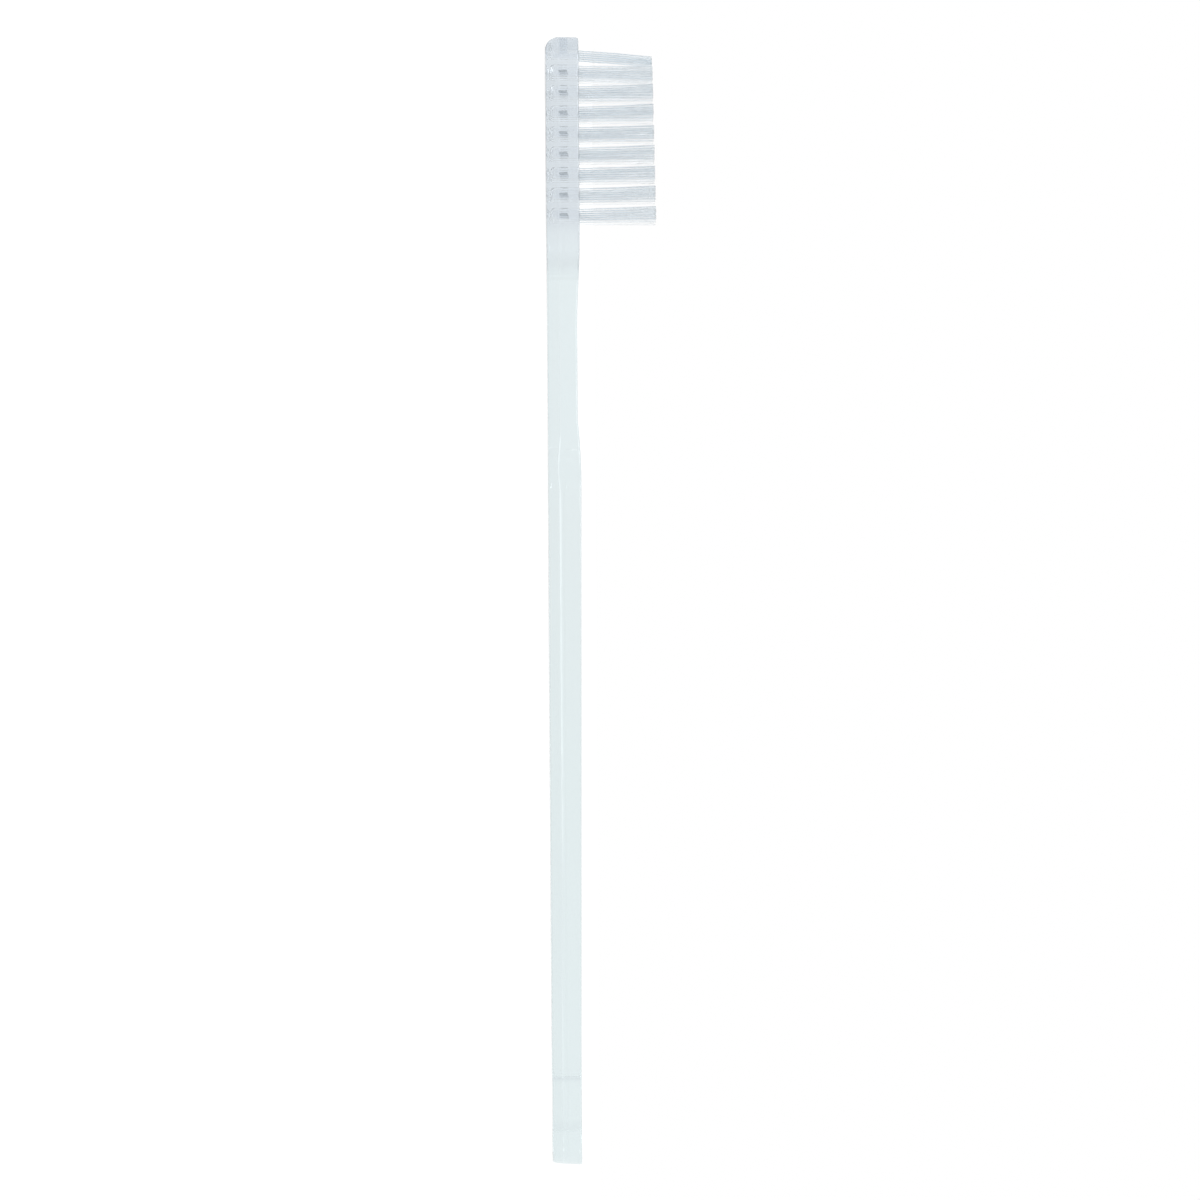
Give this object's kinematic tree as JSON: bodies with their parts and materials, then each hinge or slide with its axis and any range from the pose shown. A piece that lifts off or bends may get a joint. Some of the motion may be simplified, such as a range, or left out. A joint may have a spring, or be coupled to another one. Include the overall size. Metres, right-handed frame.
{
  "type": "manual toothbrush",
  "caption": "Slim clear plastic toothbrush: flat-backed moulded handle with a narrow neck and a hang slot, and a level-trimmed head of nylon tufts folded over metal anchors.",
  "frame": {"origin": "on the flat back, halfway along the length and the width", "axes": "+X from the tip of the head to the tail, +Z out of the front face, the way the tufts stand, +Y across the width"},
  "size_m": [0.15, 0.0102, 0.0146],
  "materials": {
    "clear_plastic": "clear moulded polystyrene, faintly blue-green, gloss",
    "bristle": "translucent nylon filament, clear to milky",
    "anchor_metal": "drawn nickel silver, satin"
  },
  "bodies": {
    "root": {"handle": "clear_plastic", "anchors": "anchor_metal", "tuft_row_1_middle": "bristle", "tuft_row_2_right": "bristle", "tuft_row_2_middle": "bristle", "tuft_row_2_left": "bristle", "tuft_row_3_right": "bristle", "tuft_row_3_middle": "bristle", "tuft_row_3_left": "bristle", "tuft_row_4_right": "bristle", "tuft_row_4_middle": "bristle", "tuft_row_4_left": "bristle", "tuft_row_5_right": "bristle", "tuft_row_5_middle": "bristle", "tuft_row_5_left": "bristle", "tuft_row_6_right": "bristle", "tuft_row_6_middle": "bristle", "tuft_row_6_left": "bristle", "tuft_row_7_right": "bristle", "tuft_row_7_middle": "bristle", "tuft_row_7_left": "bristle", "tuft_row_8_right": "bristle", "tuft_row_8_middle": "bristle", "tuft_row_8_left": "bristle", "tuft_row_9_right": "bristle", "tuft_row_9_middle": "bristle", "tuft_row_9_left": "bristle"}
  },
  "joints": []
}
